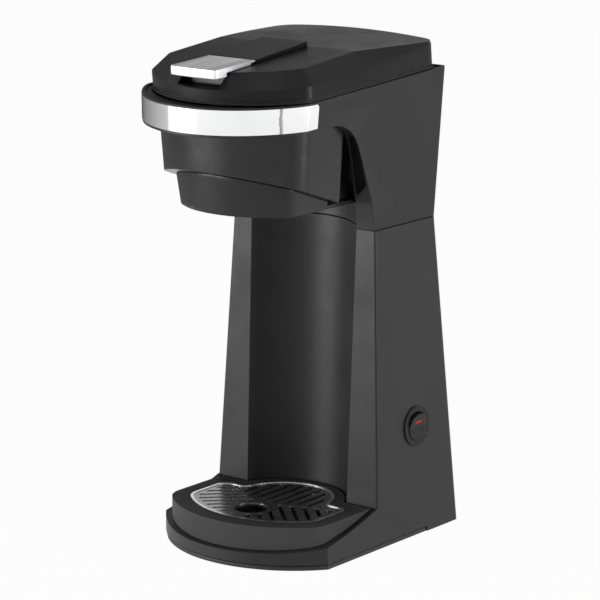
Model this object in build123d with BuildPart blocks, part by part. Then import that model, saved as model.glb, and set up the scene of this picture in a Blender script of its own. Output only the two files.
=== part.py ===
"""Single-serve pod coffee machine: tapered column, overhanging brew head, hinged lid and drip tray."""

import os
from math import atan, cos, degrees, radians, sin, sqrt, tan

from build123d import *

os.makedirs("parts", exist_ok=True)

# Frame: millimetres, +Z up, front at -Y, origin under the middle of the whole machine

# Whole machine
half_depth = 92.8
foot_proud = 1.5
wall = 2.5
seam_gap = 0.6
slide_gap = 0.4
touch_gap = 0.2
tool_reach = 400.0

# Column
base_half_width = 62.5
waist_height = 192.5
waist_half_width = 53.4
waist_rear_y = 78.3
pillar_floor_y = 9.3
pillar_waist_y = 17.2
rear_corner_r = 4.0
inner_corner_r = 1.0
front_corner_r = 1.2
strip_height = 2.5
strip_inset = 0.7
skirt_front_y = 59.6

# Cup niche, a cone that widens upwards
niche_y = -7.3
niche_floor_r = 41.3
niche_waist_r = 46.5

# Plinth, with a curved top edge that climbs to the pillars
plinth_front_y = -69.3
plinth_arc_r = 78.0
plinth_corner_r = 1.5
edge_front_z = 11.0
edge_middle_y = -27.0
edge_middle_z = 17.0
edge_pillar_y = 10.4
edge_pillar_z = 27.0
deck_z = 18.0
deck_thickness = 2.0

# Drip tray and grate
tray_side_inset = 5.2
tray_rim_gap = 1.5
tray_top_z = 26.7
tray_corner_r = 17.0
tray_wall = 2.0
grate_margin = 11.0
grate_side_inset = 9.3
grate_shoulder_y = 0.0
grate_bulge_y = -3.3
grate_bulge_r = 31.5
grate_corner_r = 14.0
grate_neck_r = 6.0
grate_thickness = 1.8
grate_sink = 0.3
ledge_width = 2.0
ring_width = 1.8
ring_proud = 0.3
finger_hole_r = 10.0
slot_width = 2.5
slot_pitch = 7.0
slot_margin = 3.0
slot_length = 70.0
slot_angle = 45.0
sector_tip_y = -19.0
sector_rise = 0.37
sector_gap = 3.0

# Upper case and head ring
rim_height = 280.2
rim_slope = 0.055
rim_half_width = 61.5
rim_rear_y = 76.2
head_arc_r = 68.0
head_corner_r = 12.0
rim_lip = 1.8
head_over = 20.0
deck_ledge = 1.8
shelf_drop = 1.2
shelf_thickness = 2.0
band_top_drop = 1.0
band_height = 14.2
band_end_y = -46.5
band_corner_r = 2.5
band_depth = 1.0
band_proud = 0.3
soffit_margin = 1.5
soffit_thickness = 2.0
panel_knee_y = 15.6
panel_knee_z = 203.0
panel_turn_y = -14.0
panel_knee_r = 60.0
panel_turn_r = 29.0
pocket_low_half = 42.5
pocket_high_half = 54.5
pocket_back_y = 16.0
panel_slot_lip = 1.3
panel_slot_wall = 1.4
panel_slot_low_z = 213.0
panel_slot_turn_z = 222.0
panel_slot_top_z = 254.0
panel_slot_r = 1.2

# Shrouds under the head
shroud_half_width = 51.4
shroud_front_y = -72.8
shroud_arc_r = 70.1
shroud_rear_y = -11.0
shroud_size_z = 227.0
shroud_draft = 0.072
shroud_corner_r = 18.0
shroud_rear_r = 4.0
shroud_gap = 0.5
shroud_edge_z = 209.2
shroud_edge_slope = -0.345
shroud_wall = 2.2
flange_reach = 1.5
flange_thickness = 1.5
neck_half_width = 36.0
neck_back_y = 14.5
spout_half_width = 41.3
spout_front_y = -65.0
spout_arc_r = 56.5
spout_bottom_z = 209.0
spout_draft = 0.14
spout_corner_r = 12.0
outlet_r = 13.0

# Brew chamber
brew_y = -33.3
top_deck_z = 264.0
top_deck_thickness = 2.0
holder_r = 26.5
holder_wall = 2.2
holder_flange_r = 31.0
holder_flange = 2.5
holder_floor_z = 223.0
holder_floor = 3.0
holder_foot_r = 22.0
nozzle_r = 6.0
nozzle_bore_r = 4.0
nozzle_end_z = 211.0
needle_r = 1.4
needle_tip_r = 0.4
lower_needle_length = 9.0
lower_needle_base_r = 5.0

# Water tank, heater and hoses
tank_side_gap = 3.4
tank_front_y = 19.0
tank_rear_gap = 17.8
tank_wall = 1.8
tank_corner_r = 5.0
mouth_side_margin = 8.0
mouth_front_margin = 5.0
mouth_rear_margin = 4.5
mouth_corner_r = 6.0
pipe_x = 30.0
pipe_gap = 1.5
nipple_inset = 8.5
hose_r = 4.0
hose_bore_r = 2.5
nipple_length = 6.0
strainer_r = 6.0
strainer_height = 3.0
heater_length = 76.0
heater_depth = 22.0
heater_height = 20.0
heater_bottom_z = 16.0
heater_corner_r = 5.0
heater_tube_r = 4.0
heater_tube_top_z = 60.0
heater_bend_r = 12.0
bracket_thickness = 2.0
bracket_leg_x = 28.0
bracket_leg_width = 14.0
valve_r = 6.5
valve_height = 18.0
hose_bend_z = 140.0
hose_back_z = 170.0
hose_bend_r = 20.0
riser_r = 2.8
riser_bore_r = 1.8
riser_gap = 0.5
thermostat_r = 8.0
thermostat_height = 6.0
fuse_r = 3.0
fuse_length = 22.0
fuse_x = 22.0
gland_x = -47.0
gland_z = 22.0
gland_r = 5.0
gland_bore_r = 3.4
gland_flange_r = 7.5
gland_flange = 1.5
gland_depth = 9.0

# Feet and screws
foot_r = 7.0
foot_side_inset = 16.5
foot_front_y = -30.0
foot_rear_inset = 14.8
screw_r = 1.5
screw_head_r = 3.0
screw_head = 1.4
screw_reach = 12.5
boss_r = 4.5
boss_front_inset = 16.5
boss_front_y = -10.0
boss_rear_inset = 6.5
boss_back_inset = 22.8
waist_screw_inset = 6.4
waist_screw_back = 6.8
waist_boss_r = 4.0
waist_boss_low = 14.5
waist_boss_high = 19.0
waist_screw_reach = 28.0
bore_gap = 0.05

# Lid
lid_half_width = 58.3
lid_taper = 0.4
lid_arc_y = -11.8
lid_arc_r = 70.2
lid_rear_y = 71.2
lid_corner_r = 9.0
lid_lift = 2.0
lid_skirt = 35.0
crease_height = 291.4
crease_slope = 0.0955
facet_height = 8.46
facet_front_inset = 9.9
facet_side_inset = 8.3
facet_rear_inset = 2.0
facet_back_inset = 0.4
ridge_y = 1.2
crown_y = 76.0
crown_z = 302.4
crown_side_z = 299.9
crown_half_width = 53.0
crown_reach = 80.0
lid_wall = 2.0
liner_thickness = 2.0
liner_gap = 0.2
gasket_reach = 0.4
gasket_height = 2.2
gasket_neck = 1.1
gasket_groove = 0.9
opening_margin = 0.8
recess_half_width = 15.0
recess_back_y = -71.0
recess_rise = 1.0
pad_half_width = 17.0
pad_rear_y = -0.5
pad_rise = 3.35
pad_slope = 0.116

# Latch plate, a pull that tilts on a pin at its rear
latch_front_y = -84.8
latch_rear_y = -48.8
latch_front_z = 295.5
latch_rear_z = 297.5
latch_thickness = 5.0
latch_step_y = -74.5
latch_lift = 0.4
latch_back_gap = 1.0
latch_corner_r = 2.2
latch_arc_r = 150.0
latch_pin_y = -51.0
latch_pin_r = 0.8
latch_pin_drop = 1.1
knuckle_r = 2.0
knuckle_inner_x = 4.0
knuckle_outer_x = 11.0
knuckle_gap = 0.5
pin_hold = 3.0
latch_relief = 1.0
latch_relief_length = 4.0
spring_r = 1.7

# Hinge
hinge_y = 75.9
hinge_z = 288.0
hinge_pin_r = 1.5
hinge_lug_r = 3.2
ear_x = 35.0
ear_width = 8.0
ear_gap = 0.3
ear_depth = 5.0
knuckle_width = 4.5
web_height = 4.0

# Piercing head under the lid
block_r = 20.0
block_bottom_z = 270.0
pod_seal_r = 24.3
pod_seal_height = 2.4
pod_seal_drop = 0.4
top_needle_tip_z = 255.0
needle_sink = 3.0
lid_hose_r = 2.5
lid_hose_bore_r = 1.5
lid_hose_rear_z = 292.0
lid_hose_front_z = 288.0
lid_hose_bend_r = 4.0
hose_room = 1.8

# Rocker switch on the right side
switch_y = 51.2
switch_z = 68.7
bezel_r = 12.35
bezel_proud = 1.1
barrel_r = 9.95
barrel_depth = 17.0
pocket_r = 8.9
pocket_depth = 6.4
rocker_r = 8.3
rocker_back = 2.2
rocker_front = 2.9
rocker_tilt = -8.0
rocker_pivot_depth = 1.4
rocker_valley = 6.0
stub_r = 1.0
stub_end = 9.4
stub_clearance = 0.05
marker_rise = 3.2
marker_length = 6.0
marker_width = 1.5
marker_depth = 0.6
blade_width = 6.3
blade_thickness = 0.8
blade_length = 8.0
blade_spread = 4.0

# Worked out from the sizes above
column_draft = (base_half_width - waist_half_width) / (waist_height - foot_proud)
rear_lean = (half_depth - waist_rear_y) / (waist_height - foot_proud)
pillar_lean = (pillar_waist_y - pillar_floor_y) / (waist_height - foot_proud)
niche_flare = (niche_waist_r - niche_floor_r) / (waist_height - foot_proud)
plinth_arc_y = plinth_front_y + plinth_arc_r
strip_top_z = foot_proud + strip_height
upper_flare = (rim_half_width - waist_half_width) / (rim_height - waist_height)
upper_lean = (rim_rear_y - waist_rear_y) / (rim_height - waist_height)
head_arc_y = band_proud + head_arc_r - half_depth
tray_half_width = base_half_width - tray_side_inset
tray_arc_r = plinth_arc_r - (tray_side_inset - tray_rim_gap)
grate_half_width = tray_half_width - grate_side_inset
grate_arc_r = tray_arc_r - grate_margin
seat_z = tray_top_z - grate_sink - grate_thickness
soffit_height = rim_height - band_top_drop - band_height - soffit_margin
lid_under = rim_height + lid_lift
panel_height = crease_height + facet_height * sqrt(1 + crease_slope**2)
spout_floor_z = spout_bottom_z + shroud_wall
ceiling_z = spout_floor_z + touch_gap
top_deck_top = top_deck_z + top_deck_thickness
tank_floor_z = ceiling_z + wall + touch_gap
tank_half_width = waist_half_width - tank_side_gap
tank_rear_y = waist_rear_y - tank_rear_gap
mouth_half_width = tank_half_width - mouth_side_margin
mouth_front_y = tank_front_y + mouth_front_margin
mouth_rear_y = tank_rear_y - mouth_rear_margin
pipe_y = tank_rear_y + riser_r + pipe_gap
nipple_y = tank_rear_y - nipple_inset
heater_top_z = heater_bottom_z + heater_height
valve_top_z = heater_tube_top_z + valve_height
latch_arc_y = latch_front_y + latch_arc_r
latch_slope = (latch_rear_z - latch_front_z) / (latch_rear_y - latch_front_y)
foot_x = base_half_width - foot_side_inset
foot_rear_y = half_depth - foot_rear_inset
latch_pin_z = panel_height + crease_slope * latch_pin_y - latch_pin_drop


def side_x(height):
    """Half-width of the column at a height."""
    return base_half_width - column_draft * (height - foot_proud)


def rear_y(height):
    """Rear face of the column at a height."""
    return half_depth - rear_lean * (height - foot_proud)


def pillar_y(height):
    """Front face of the pillars at a height."""
    return pillar_floor_y + pillar_lean * (height - foot_proud)


def niche_r(height):
    """Radius of the cup niche at a height."""
    return niche_floor_r + niche_flare * (height - foot_proud)


def level(height, slope=0.0):
    """Plane at a height on the Z axis that climbs towards the rear."""
    return Plane(origin=(0, 0, height), x_dir=(1, 0, 0), z_dir=(0, -slope, 1))


def bow_outline(half_width, arc_y, arc_r, back_y, front_r=0.0, back_r=0.0):
    """Outline with an arc in front, straight sides and a straight back."""
    corner_y = arc_y - sqrt(arc_r**2 - half_width**2)
    with BuildSketch() as outline:
        with BuildLine():
            ThreePointArc((-half_width, corner_y), (0, arc_y - arc_r), (half_width, corner_y))
            Polyline(
                (half_width, corner_y),
                (half_width, back_y),
                (-half_width, back_y),
                (-half_width, corner_y),
            )
        make_face()
        rows = outline.vertices().group_by(Axis.Y)
        if front_r > 0:
            fillet(rows[0], front_r)
        if back_r > 0:
            fillet(outline.vertices().group_by(Axis.Y)[-1], back_r)
    return outline.sketch


def bow_loft(low_z, low, high_z, high):
    """Solid between two bow outlines at two heights."""
    with BuildPart() as body:
        with BuildSketch(Plane.XY.offset(low_z)):
            add(low)
        with BuildSketch(Plane.XY.offset(high_z)):
            add(high)
        loft(ruled=True)
    return body.part


def above(plane):
    """Large block on the upper side of a plane."""
    with BuildPart() as block:
        with BuildSketch(plane):
            Rectangle(tool_reach, tool_reach)
        extrude(amount=tool_reach)
    return block.part


def column_outline(height, inset):
    """Section of the column at a height, drawn in by an inset."""
    half = side_x(height) - inset
    front = pillar_y(height) + inset
    back = rear_y(height) - inset
    with BuildSketch() as outline:
        with Locations((0, (front + back) / 2)):
            Rectangle(2 * half, back - front)
        fillet(outline.vertices().group_by(Axis.Y)[-1], max(rear_corner_r - inset, inner_corner_r))
        fillet(outline.vertices().group_by(Axis.Y)[0], front_corner_r)
    return outline.sketch


def column_body(low_z, high_z, inset):
    """Tapered column between two heights."""
    return bow_loft(low_z, column_outline(low_z, inset), high_z, column_outline(high_z, inset))


def niche_cone(low_z, high_z, growth):
    """Cone of the cup niche between two heights, grown by a wall."""
    with BuildPart() as cone:
        with BuildSketch(Plane.XY.offset(low_z)):
            with Locations((0, niche_y)):
                Circle(niche_r(low_z) + growth)
        with BuildSketch(Plane.XY.offset(high_z)):
            with Locations((0, niche_y)):
                Circle(niche_r(high_z) + growth)
        loft()
    return cone.part


def plinth_outline(height, inset, back_y):
    """Section of the plinth at a height."""
    half = side_x(height) - inset
    return bow_outline(half, plinth_arc_y, plinth_arc_r - inset, back_y, plinth_corner_r)


def under_edge(drop, top_z):
    """Block under the curved top edge of the plinth, lowered by a drop and capped at a height."""
    with BuildPart() as block:
        with BuildSketch(Plane.YZ.offset(-tool_reach / 2)):
            with BuildLine():
                edge = ThreePointArc(
                    (plinth_front_y, edge_front_z - drop),
                    (edge_middle_y, edge_middle_z - drop),
                    (edge_pillar_y, edge_pillar_z - drop),
                )
                Polyline(
                    edge @ 1,
                    (half_depth, edge_pillar_z - drop),
                    (half_depth, -tool_reach),
                    (-tool_reach, -tool_reach),
                    (-tool_reach, edge_front_z - drop),
                    edge @ 0,
                )
            make_face()
        extrude(amount=tool_reach)
        split(bisect_by=level(top_z), keep=Keep.BOTTOM)
    return block.part


def upper_outline(height, growth):
    """Section of the upper case at a height, grown by a wall."""
    half = waist_half_width + upper_flare * (height - waist_height) + growth
    back = waist_rear_y + upper_lean * (height - waist_height) + growth
    return bow_outline(
        half, head_arc_y, head_arc_r + growth, back, head_corner_r + growth, rear_corner_r + growth
    )


def upper_body(growth):
    """Upper case from the waist to above the rim, before its front is cut."""
    low_z = waist_height + seam_gap
    high_z = rim_height + head_over
    return bow_loft(low_z, upper_outline(low_z, growth), high_z, upper_outline(high_z, growth))


def panel_front(growth):
    """Space in front of the side panels and under the head, grown by a wall."""
    turn_z = soffit_height + rim_slope * panel_turn_y
    far_y = -2 * half_depth
    low_z = waist_height - panel_turn_r
    low_y = pillar_y(low_z)
    with BuildPart() as block:
        with BuildSketch(Plane.YZ.offset(-tool_reach / 2)):
            with BuildLine():
                edge = FilletPolyline(
                    (low_y, low_z),
                    (panel_knee_y, panel_knee_z),
                    (panel_turn_y, turn_z),
                    (far_y, soffit_height + rim_slope * far_y),
                    radius=(panel_knee_r, panel_turn_r),
                )
                Polyline(edge @ 1, (far_y, low_z), edge @ 0)
            make_face()
            if growth > 0:
                offset(amount=growth)
        extrude(amount=tool_reach)
    return block.part


def slot_inner_x(height):
    """Inner side of the dark slot in a side panel, a lip away from the pocket."""
    climb = (height - ceiling_z) / (top_deck_z - ceiling_z)
    return pocket_low_half + (pocket_high_half - pocket_low_half) * climb + panel_slot_lip


def slot_outer_x(height):
    """Outer side of the dark slot in a side panel, a wall away from the case's side."""
    return waist_half_width + upper_flare * (height - waist_height) - panel_slot_wall


def shroud_outline(height, growth, back_y):
    """Section of the upper tier at a height."""
    swell = shroud_draft * (height - shroud_size_z) + growth
    arc_y = shroud_front_y + shroud_arc_r
    return bow_outline(
        shroud_half_width + swell,
        arc_y,
        shroud_arc_r + swell,
        back_y,
        shroud_corner_r + growth,
        shroud_rear_r + growth,
    )


def shroud_body(growth, back_y):
    """Upper tier from below its edge to above the head, before its edge is cut."""
    low_z = spout_bottom_z - shroud_wall
    high_z = rim_height
    return bow_loft(
        low_z, shroud_outline(low_z, growth, back_y), high_z, shroud_outline(high_z, growth, back_y)
    )


def spout_outline(height, growth, back_y):
    """Section of the lower tier at a height."""
    swell = spout_draft * (height - spout_bottom_z) + growth
    arc_y = spout_front_y + spout_arc_r
    return bow_outline(
        spout_half_width + swell, arc_y, spout_arc_r + swell, back_y, spout_corner_r + growth
    )


def spout_body(low_z, growth, back_y):
    """Lower tier from a height to above its top edge."""
    high_z = rim_height
    return bow_loft(
        low_z, spout_outline(low_z, growth, back_y), high_z, spout_outline(high_z, growth, back_y)
    )


def lid_ring(half_width, rear_half, arc_r, back_y):
    """Outline with an arc in front and sides that turn at the ridge."""
    corner_y = lid_arc_y - sqrt(arc_r**2 - half_width**2)
    with BuildSketch() as outline:
        with BuildLine():
            ThreePointArc((-half_width, corner_y), (0, lid_arc_y - arc_r), (half_width, corner_y))
            Polyline(
                (half_width, corner_y),
                (half_width, ridge_y),
                (rear_half, back_y),
                (-rear_half, back_y),
                (-half_width, ridge_y),
                (-half_width, corner_y),
            )
        make_face()
        fillet(outline.vertices().group_by(Axis.Y)[0], lid_corner_r)
        fillet(outline.vertices().group_by(Axis.Y)[-1], lid_corner_r)
    return outline.sketch


def lid_outline(growth):
    """Outline of the lid's side wall."""
    half = lid_half_width + growth
    return lid_ring(half, half - lid_taper, lid_arc_r + growth, lid_rear_y + growth)


def lid_top_outline(growth):
    """Outline of the lid's top, with facets that narrow towards the rear."""
    half = lid_half_width + growth
    return lid_ring(
        half - facet_side_inset,
        half - facet_rear_inset,
        lid_arc_r - facet_front_inset + growth,
        lid_rear_y - facet_back_inset + growth,
    )


def over_crown(drop):
    """Space above the crowned rear panel of the lid, lowered by a drop."""
    ridge_z = panel_height + crease_slope * ridge_y - drop
    reach = crown_reach
    side_drop = (crown_z - crown_side_z) * (reach / crown_half_width) ** 2
    with BuildPart() as block:
        with BuildSketch(Plane.XZ.offset(-ridge_y)):
            with BuildLine():
                Polyline(
                    (-reach, ridge_z),
                    (reach, ridge_z),
                    (reach, ridge_z + reach),
                    (-reach, ridge_z + reach),
                    close=True,
                )
            make_face()
        with BuildSketch(Plane.XZ.offset(-crown_y)):
            with BuildLine():
                low_z = crown_z - side_drop - drop
                ThreePointArc((-reach, low_z), (0, crown_z - drop), (reach, low_z))
                Polyline(
                    (reach, low_z), (reach, crown_z + reach), (-reach, crown_z + reach), (-reach, low_z)
                )
            make_face()
        loft(ruled=True)
    return block.part


def lid_prism(growth):
    """Side walls of the lid carried down from the crease, grown by a wall."""
    with BuildPart() as prism:
        with BuildSketch(level(crease_height, crease_slope)):
            add(lid_outline(growth))
        extrude(amount=-lid_skirt)
    return prism.part


def lid_body(inset):
    """Faceted lid, drawn in by a wall thickness."""
    crease = level(crease_height, crease_slope)
    with BuildPart() as body:
        add(lid_prism(-inset))
        with BuildSketch(crease):
            add(lid_outline(-inset))
        with BuildSketch(crease.offset(facet_height - inset)):
            add(lid_top_outline(-inset))
        loft(ruled=True)
        add(over_crown(inset), mode=Mode.SUBTRACT)
        split(bisect_by=level(lid_under, rim_slope), keep=Keep.TOP)
    return body.part


def latch_recess(growth):
    """Finger recess in the lid's front, under the latch plate."""
    floor_z = crease_height + crease_slope * (lid_arc_y - lid_arc_r) + recess_rise
    front_y = -half_depth
    back_y = recess_back_y + growth
    with BuildPart() as block:
        with BuildSketch(Plane.XY.offset(floor_z - growth)):
            with Locations((0, (front_y + back_y) / 2)):
                Rectangle(2 * (recess_half_width + growth), back_y - front_y)
        extrude(amount=facet_height * 2)
    return block.part


def grate_outline(growth):
    """Outline of the grate: arc in front, shoulders and a round bulge into the niche."""
    half = grate_half_width + growth
    arc_r = grate_arc_r + growth
    back_y = grate_shoulder_y + growth
    with BuildSketch() as outline:
        add(bow_outline(half, plinth_arc_y, arc_r, back_y, grate_corner_r, grate_corner_r / 2))
        with Locations((0, grate_bulge_y)):
            Circle(grate_bulge_r + growth)
        necks = outline.vertices().filter_by_position(
            Axis.Y, back_y - touch_gap, back_y + touch_gap
        )
        inner = necks.filter_by_position(Axis.X, -grate_bulge_r - growth, grate_bulge_r + growth)
        fillet(inner, grate_neck_r)
    return outline.sketch


def tray_outline(growth):
    """Outline of the drip tray: it fills the plinth and reaches into the niche."""
    height = tray_top_z
    back_y = pillar_y(height) - tray_rim_gap + growth
    arc_r = tray_arc_r + growth
    with BuildSketch() as outline:
        add(bow_outline(tray_half_width + growth, plinth_arc_y, arc_r, back_y, tray_corner_r))
        with Locations((0, niche_y)):
            Circle(niche_r(deck_z) - tray_rim_gap + growth)
    return outline.sketch


# Lower housing: column, niche and plinth in one moulding
boss_front_x = base_half_width - boss_front_inset
boss_rear_x = base_half_width - boss_rear_inset
boss_rear_y = half_depth - boss_back_inset
waist_screw_x = waist_half_width - waist_screw_inset
waist_screw_y = waist_rear_y - waist_screw_back
screw_places = [
    (-boss_front_x, boss_front_y),
    (boss_front_x, boss_front_y),
    (-boss_rear_x, boss_rear_y),
    (boss_rear_x, boss_rear_y),
]
ear_places = (-ear_x, ear_x)
waist_places = [(-waist_screw_x, waist_screw_y), (waist_screw_x, waist_screw_y)]
switch_tilt = degrees(atan(column_draft))
switch_plane = Plane(
    origin=(side_x(switch_z), switch_y, switch_z),
    x_dir=(0, 1, 0),
    z_dir=(cos(radians(switch_tilt)), 0, sin(radians(switch_tilt))),
)
gland_plane = Plane(origin=(gland_x, rear_y(gland_z), gland_z), x_dir=(1, 0, 0), z_dir=(0, 1, rear_lean))

with BuildPart() as column_hollow:
    add(column_body(foot_proud, waist_height, wall))
    add(niche_cone(deck_z - deck_thickness, waist_height, wall), mode=Mode.SUBTRACT)

with BuildPart() as plinth_hollow:
    add(
        bow_loft(
            foot_proud,
            plinth_outline(foot_proud, wall, pillar_waist_y + wall),
            deck_z,
            plinth_outline(deck_z, wall, pillar_waist_y + wall),
        )
    )
    add(under_edge(deck_thickness, deck_z - deck_thickness), mode=Mode.INTERSECT)

with BuildPart() as lower_housing:
    add(
        bow_loft(
            foot_proud,
            plinth_outline(foot_proud, 0, pillar_waist_y),
            edge_pillar_z,
            plinth_outline(edge_pillar_z, 0, pillar_waist_y),
        )
    )
    add(under_edge(0, edge_pillar_z), mode=Mode.INTERSECT)
    with BuildSketch(Plane.XY.offset(deck_z)):
        add(tray_outline(tray_rim_gap))
    extrude(amount=edge_pillar_z, mode=Mode.SUBTRACT)
    add(column_body(foot_proud, waist_height, 0))
    add(niche_cone(deck_z, waist_height, 0), mode=Mode.SUBTRACT)
    add(column_hollow.part, mode=Mode.SUBTRACT)
    add(plinth_hollow.part, mode=Mode.SUBTRACT)
    with BuildSketch(Plane.XY.offset(foot_proud)):
        with Locations((0, skirt_front_y - tool_reach / 2)):
            Rectangle(tool_reach, tool_reach)
    extrude(amount=strip_height + seam_gap, mode=Mode.SUBTRACT)
    with BuildSketch(Plane.XY.offset(strip_top_z)):
        with Locations(*screw_places):
            Circle(boss_r)
            Circle(screw_r + bore_gap, mode=Mode.SUBTRACT)
    extrude(amount=screw_reach)
    with BuildSketch(Plane.XY.offset(waist_height)):
        with Locations(*waist_places):
            Circle(waist_boss_r)
            Circle(screw_r + bore_gap, mode=Mode.SUBTRACT)
    extrude(amount=-waist_boss_low)
    with BuildSketch(switch_plane):
        Circle(barrel_r + bore_gap)
    extrude(amount=-2 * wall, mode=Mode.SUBTRACT)
    with BuildSketch(gland_plane):
        Circle(gland_r + bore_gap)
    extrude(amount=-2 * wall, both=True, mode=Mode.SUBTRACT)
lower_housing.part.label = "lower_housing"
export_step(lower_housing.part, "parts/lower_housing.step")

# Base plate, with its edge showing as a thin strip under the housing
with BuildPart() as base_plate:
    with BuildSketch(Plane.XY.offset(foot_proud)):
        add(plinth_outline(foot_proud, strip_inset, skirt_front_y - slide_gap))
    extrude(amount=strip_height)
    with BuildSketch(Plane.XY.offset(foot_proud)):
        add(column_outline(foot_proud, wall + slide_gap))
    extrude(amount=strip_height)
    with BuildSketch(Plane.XY.offset(foot_proud)):
        with Locations(*screw_places):
            Circle(screw_r + bore_gap)
    extrude(amount=strip_height, mode=Mode.SUBTRACT)
    with BuildSketch(Plane.XY.offset(foot_proud)):
        with Locations(*screw_places):
            Circle(screw_head_r + bore_gap)
    extrude(amount=screw_head, mode=Mode.SUBTRACT)
base_plate.part.label = "base_plate"
export_step(base_plate.part, "parts/base_plate.step")

with BuildPart() as rubber_feet:
    with BuildSketch():
        with Locations(
            (-foot_x, foot_front_y), (foot_x, foot_front_y), (-foot_x, foot_rear_y), (foot_x, foot_rear_y)
        ):
            Circle(foot_r)
    extrude(amount=foot_proud)
rubber_feet.part.label = "rubber_feet"
export_step(rubber_feet.part, "parts/rubber_feet.step")

with BuildPart() as base_screws:
    with BuildSketch(Plane.XY.offset(foot_proud)):
        with Locations(*screw_places):
            Circle(screw_head_r)
    extrude(amount=screw_head)
    with BuildSketch(Plane.XY.offset(foot_proud)):
        with Locations(*screw_places):
            Circle(screw_r)
    extrude(amount=screw_reach)
base_screws.part.label = "base_screws"
export_step(base_screws.part, "parts/base_screws.step")

# Screws that hold the upper housing down on the column
with BuildPart() as housing_screws:
    with BuildSketch(Plane.XY.offset(waist_height - waist_boss_low)):
        with Locations(*waist_places):
            Circle(screw_head_r)
    extrude(amount=-screw_head)
    with BuildSketch(Plane.XY.offset(waist_height - waist_boss_low)):
        with Locations(*waist_places):
            Circle(screw_r)
    extrude(amount=waist_screw_reach)
housing_screws.part.label = "housing_screws"
export_step(housing_screws.part, "parts/housing_screws.step")

# Upper housing: flared case, head ring and the sweep of the side panels
with BuildPart() as band_zone:
    with BuildSketch(Plane.YZ.offset(-tool_reach / 2)) as band_side:
        top_z = rim_height - band_top_drop
        far_y = -2 * half_depth
        with BuildLine():
            Polyline(
                (band_end_y, top_z + rim_slope * band_end_y),
                (far_y, top_z + rim_slope * far_y),
                (far_y, top_z - band_height + rim_slope * far_y),
                (band_end_y, top_z - band_height + rim_slope * band_end_y),
                close=True,
            )
        make_face()
        fillet(band_side.vertices().group_by(Axis.Y)[-1], band_corner_r)
    extrude(amount=tool_reach)

with BuildPart() as band_groove:
    add(upper_body(band_proud))
    add(upper_body(-band_depth), mode=Mode.SUBTRACT)
    add(band_zone.part, mode=Mode.INTERSECT)

with BuildPart() as upper_hollow:
    add(upper_body(-wall))
    split(bisect_by=level(top_deck_z), keep=Keep.TOP)
    split(bisect_by=level(rim_height - shelf_drop - shelf_thickness, rim_slope), keep=Keep.BOTTOM)

with BuildPart() as tank_room:
    add(upper_body(-wall - deck_ledge))
    split(bisect_by=level(top_deck_top), keep=Keep.BOTTOM)
    add(panel_front(soffit_thickness), mode=Mode.SUBTRACT)
    add(niche_cone(waist_height, ceiling_z + wall, wall), mode=Mode.SUBTRACT)

with BuildPart() as panel_pocket:
    with BuildSketch(Plane.XZ.offset(-pocket_back_y)):
        with BuildLine():
            Polyline(
                (-pocket_low_half, ceiling_z),
                (pocket_low_half, ceiling_z),
                (pocket_high_half, top_deck_z),
                (-pocket_high_half, top_deck_z),
                close=True,
            )
        make_face()
    extrude(amount=pocket_back_y - shroud_rear_y)

with BuildPart() as panel_slots:
    with BuildSketch(Plane.XZ.offset(-pocket_back_y)) as slot_face:
        with BuildLine():
            Polyline(
                (slot_inner_x(panel_slot_low_z), panel_slot_low_z),
                (slot_outer_x(panel_slot_turn_z), panel_slot_turn_z),
                (slot_outer_x(panel_slot_top_z), panel_slot_top_z),
                (slot_inner_x(panel_slot_top_z), panel_slot_top_z),
                close=True,
            )
        make_face()
        fillet(slot_face.vertices(), panel_slot_r)
        mirror(about=Plane.YZ)
    extrude(amount=pocket_back_y - shroud_rear_y)

with BuildPart() as rim_recess:
    add(upper_body(-rim_lip))
    split(bisect_by=level(rim_height - shelf_drop, rim_slope), keep=Keep.TOP)

with BuildPart() as rim_opening:
    add(lid_prism(opening_margin))
    split(bisect_by=level(top_deck_top), keep=Keep.TOP)

with BuildPart() as upper_housing:
    add(upper_body(0))
    split(bisect_by=level(rim_height, rim_slope), keep=Keep.BOTTOM)
    add(panel_front(0), mode=Mode.SUBTRACT)
    add(niche_cone(waist_height, ceiling_z, 0), mode=Mode.SUBTRACT)
    add(upper_hollow.part, mode=Mode.SUBTRACT)
    add(tank_room.part, mode=Mode.SUBTRACT)
    add(rim_recess.part, mode=Mode.SUBTRACT)
    add(rim_opening.part, mode=Mode.SUBTRACT)
    add(panel_pocket.part, mode=Mode.SUBTRACT)
    add(panel_slots.part, mode=Mode.SUBTRACT)
    add(shroud_body(shroud_gap, shroud_rear_y + shroud_gap), mode=Mode.SUBTRACT)
    add(band_groove.part, mode=Mode.SUBTRACT)
    with BuildSketch(Plane.XY.offset(waist_height)):
        with Locations(*waist_places):
            Circle(waist_boss_r)
            Circle(screw_r + bore_gap, mode=Mode.SUBTRACT)
    extrude(amount=seam_gap + waist_boss_high)
    for place in ear_places:
        with BuildSketch(Plane.YZ.offset(place - ear_width / 2)):
            with Locations((hinge_y, hinge_z)):
                Circle(hinge_lug_r)
            with Locations((hinge_y, hinge_z - hinge_lug_r)):
                Rectangle(ear_depth, 2 * hinge_lug_r)
        extrude(amount=ear_width)
    with BuildSketch(Plane.YZ):
        with Locations((hinge_y, hinge_z)):
            Circle(hinge_pin_r)
    extrude(amount=base_half_width, both=True, mode=Mode.SUBTRACT)
upper_housing.part.label = "upper_housing"
export_step(upper_housing.part, "parts/upper_housing.step")

with BuildPart() as chrome_band:
    add(band_groove.part)
chrome_band.part.label = "chrome_band"
export_step(chrome_band.part, "parts/chrome_band.step")

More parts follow.
